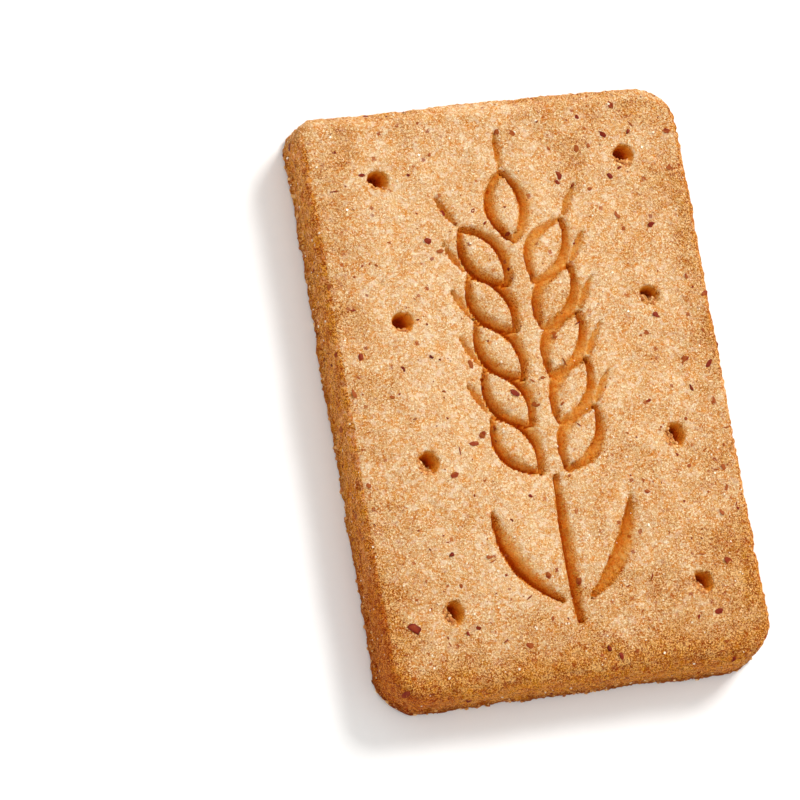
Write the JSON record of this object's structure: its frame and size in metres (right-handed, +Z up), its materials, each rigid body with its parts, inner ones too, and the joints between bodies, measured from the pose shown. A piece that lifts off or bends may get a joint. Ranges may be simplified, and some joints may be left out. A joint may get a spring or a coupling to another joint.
{
  "type": "whole grain biscuit",
  "caption": "Thin rectangular whole grain biscuit with rounded corners, a spread crumbly foot, blind docking holes in two rows and a stamped ear of wheat.",
  "frame": {"origin": "Middle of the flat base, at the bottom of the object's box.", "axes": "X across the biscuit, Y along its length towards the tip of the stamped ear, Z up out of the stamped face."},
  "size_m": [0.0438, 0.0658, 0.0066],
  "materials": {
    "crust": null
  },
  "bodies": {
    "root": {"biscuit": "crust"}
  },
  "joints": []
}
